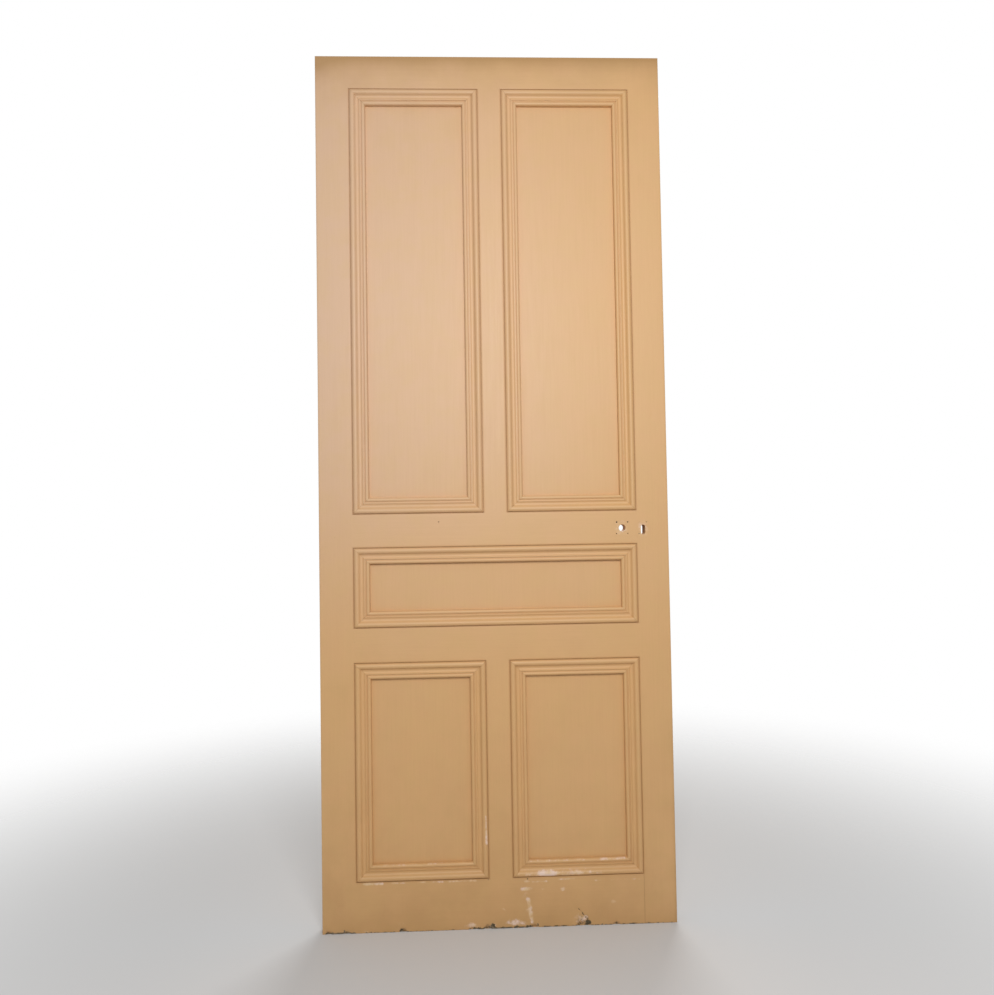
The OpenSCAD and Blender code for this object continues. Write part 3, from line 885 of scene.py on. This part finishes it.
def paint_material(name, stretch):
    """Old brushed paint on wood. The brush marks run along the axis that is stretched least."""
    shader = Shader(name)
    here = shader.place()
    strokes = shader.noise(shader.place(stretch), 1.0, 5.0, 0.6)
    colour, crease_shade_and_dirt = soiled_and_shaded(shader, here, painted(shader, here, strokes))

    flakes = shader.noise(here, 95.0, 6.0, 0.70)
    # Pale undercoat where the paint is worn, and painted highlights of the same colour on the lower
    # inner beads.
    pale = broken_up(shader, shader.attribute("pale"), flakes, 1.7, 0.32, 1.05)
    undercoat_and_highlight = shader.blend(shader.between(shader.noise(here, 45.0, 3.0), 0.40, 0.60), WARM_UNDERCOAT_AND_HIGHLIGHT,
                        PALE_UNDERCOAT_AND_HIGHLIGHT)
    colour = shader.blend(shader.math("MULTIPLY", pale, PALE_SHARE), colour, undercoat_and_highlight)
    crumbs = shader.noise(here, 150.0, 6.0, 0.72)
    bare = broken_up(shader, shader.attribute("bare"), crumbs, 1.9, 0.50, 0.72)
    colour = shader.blend(bare, colour, bare_wood(shader, here))

    gone = shader.math("MAXIMUM", shader.math("MULTIPLY", pale, 0.5), bare)
    rough = shader.math("MULTIPLY_ADD", shader.between(strokes, 0.2, 0.8), BRUSH_ROUGHNESS)
    shader.feed(rough.node.inputs[2], PAINT_ROUGHNESS)
    rough = shader.math("ADD", rough, shader.math("MULTIPLY", gone, WORN_ROUGHNESS))
    creased = shader.math("MULTIPLY", crease_shade_and_dirt, CREASE_ROUGHNESS)
    rough = shader.math("ADD", rough, creased, clamp=True)

    normal = shader.bump(strokes, BRUSH_RIDGES, 0.6)
    normal = shader.bump(shader.noise(here, 900.0, 2.0), PAINT_STIPPLE, 0.4, normal)
    normal = shader.bump(shader.math("SUBTRACT", 1.0, gone), COAT_STEP, 0.8, normal)
    surface = shader.add("ShaderNodeBsdfPrincipled",
                         {"Base Color": colour, "Roughness": rough, "Normal": normal})
    output = shader.add("ShaderNodeOutputMaterial")
    shader.feed(output.inputs["Surface"], surface.outputs["BSDF"])
    return shader.material


# ---- Studio ----

FLOOR_RADIUS = 3.0
FLOOR_FADES = (0.7, 2.6)  # how far from the middle the floor starts and ends fading into white
FLOOR_COLOUR = (0.66, 0.66, 0.66, 1)
WHITE = (1, 1, 1, 1)
LIGHT_ABOVE = 0.46        # the world's strength from straight above and straight below
LIGHT_BELOW = 0.08
CAMERA_PLACE = (-0.069, -1.988, 0.981)
CAMERA_YAW = -2.184       # degrees
CAMERA_PITCH = 1.843
CAMERA_ROLL = 0.92
CAMERA_LENS = 28.97       # millimetres
SENSOR_WIDTH = 36


def make_floor():
    """A plain pale floor that fades into the white around it."""
    bpy.ops.mesh.primitive_circle_add(vertices=128, radius=FLOOR_RADIUS, fill_type="NGON")
    floor = bpy.context.object
    floor.name = "studio_floor"
    shader = Shader("studio_floor")
    from_middle = shader.add("ShaderNodeVectorMath", {0: shader.place()}, operation="LENGTH")
    fade = shader.between(from_middle.outputs["Value"], *FLOOR_FADES)
    pale = shader.add("ShaderNodeBsdfDiffuse", {"Color": FLOOR_COLOUR})
    clear = shader.add("ShaderNodeBsdfTransparent")
    both = shader.add("ShaderNodeMixShader", {0: fade, 1: pale.outputs[0], 2: clear.outputs[0]})
    output = shader.add("ShaderNodeOutputMaterial")
    shader.feed(output.inputs["Surface"], both.outputs[0])
    floor.data.materials.append(shader.material)


def make_world():
    """White to the eye, and a soft light on the leaf that is stronger from above."""
    world = bpy.data.worlds.new("studio")
    bpy.context.scene.world = world
    world.use_nodes = True
    tree = world.node_tree
    tree.nodes.clear()
    lit = tree.nodes.new("ShaderNodeBackground")
    lit.inputs["Color"].default_value = WHITE
    height = tree.nodes.new("ShaderNodeSeparateXYZ")
    tree.links.new(tree.nodes.new("ShaderNodeTexCoord").outputs["Generated"], height.inputs[0])
    strength = tree.nodes.new("ShaderNodeMapRange")
    strength.inputs["From Min"].default_value = -1
    strength.inputs["To Min"].default_value = LIGHT_BELOW
    strength.inputs["To Max"].default_value = LIGHT_ABOVE
    tree.links.new(height.outputs["Z"], strength.inputs["Value"])
    tree.links.new(strength.outputs["Result"], lit.inputs["Strength"])
    seen = tree.nodes.new("ShaderNodeBackground")
    seen.inputs["Color"].default_value = WHITE
    path = tree.nodes.new("ShaderNodeLightPath")
    choose = tree.nodes.new("ShaderNodeMixShader")
    output = tree.nodes.new("ShaderNodeOutputWorld")
    tree.links.new(path.outputs["Is Camera Ray"], choose.inputs[0])
    tree.links.new(lit.outputs[0], choose.inputs[1])
    tree.links.new(seen.outputs[0], choose.inputs[2])
    tree.links.new(choose.outputs[0], output.inputs["Surface"])


def make_light(name, place, target, size, power, colour):
    data = bpy.data.lights.new(name, "AREA")
    data.shape = "SQUARE"
    data.size = size
    data.energy = power
    data.color = colour
    light = bpy.data.objects.new(name, data)
    light.location = place
    light.rotation_euler = (Vector(target) - Vector(place)).to_track_quat("-Z", "Y").to_euler()
    bpy.context.scene.collection.objects.link(light)


def make_camera():
    """Low in front of the leaf and a little to its left, turned and rolled slightly."""
    data = bpy.data.cameras.new("camera")
    data.sensor_width = SENSOR_WIDTH
    data.lens = CAMERA_LENS
    camera = bpy.data.objects.new("camera", data)
    turn = Matrix.Rotation(math.radians(CAMERA_YAW), 4, "Z")
    tilt = Matrix.Rotation(math.radians(CAMERA_PITCH), 4, "X")
    roll = Matrix.Rotation(math.radians(CAMERA_ROLL), 4, "Y")
    upright = Matrix.Rotation(math.radians(90), 4, "X")
    camera.matrix_world = Matrix.Translation(CAMERA_PLACE) @ turn @ tilt @ roll @ upright
    bpy.context.scene.collection.objects.link(camera)
    bpy.context.scene.camera = camera


make_camera()
make_world()
make_floor()
make_light("key", place=(0.1, -2.15, 1.85), target=(0, 0, 1.35), size=0.9, power=36,
           colour=(1.0, 1.0, 1.0))
make_light("back_fill", place=(0.8, 3.0, 3.0), target=(0, 0, 1.2), size=2.0, power=70,
           colour=(1.0, 0.98, 0.96))
bpy.context.scene.view_settings.view_transform = "Standard"

upright_paint = paint_material("paint_brushed_upright", (BRUSH_FINE, BRUSH_FINE, BRUSH_LONG))
level_paint = paint_material("paint_brushed_level", (BRUSH_LONG, BRUSH_FINE, BRUSH_FINE))

LEVEL_MEMBERS = ["top_rail", "lock_rail", "middle_rail", "bottom_rail"]
UPRIGHT_MEMBERS = ["hinge_stile", "lock_stile", "upper_muntin", "lower_muntin"]
FRAMING_SEED = 0.5        # one seed, so that the unevenness runs on across the joints
PANEL_SEED = 20.5
MOULDING_SEED = 30.5
for member in UPRIGHT_MEMBERS:
    framing_piece(member, FRAMING_SEED, upright_paint)
for member in LEVEL_MEMBERS:
    framing_piece(member, FRAMING_SEED, level_paint)
for number, opening in enumerate(OPENING_NAMES):
    panel_piece(f"{opening}_panel", PANEL_SEED + number, upright_paint)
    for turn, side in enumerate(SIDES):
        along = level_paint if side in ("bottom", "top") else upright_paint
        moulding_piece(opening, side, MOULDING_SEED + 4 * number + turn, along)
for pegs in ["stile_pegs", "muntin_pegs"]:
    peg_piece(pegs, upright_paint)
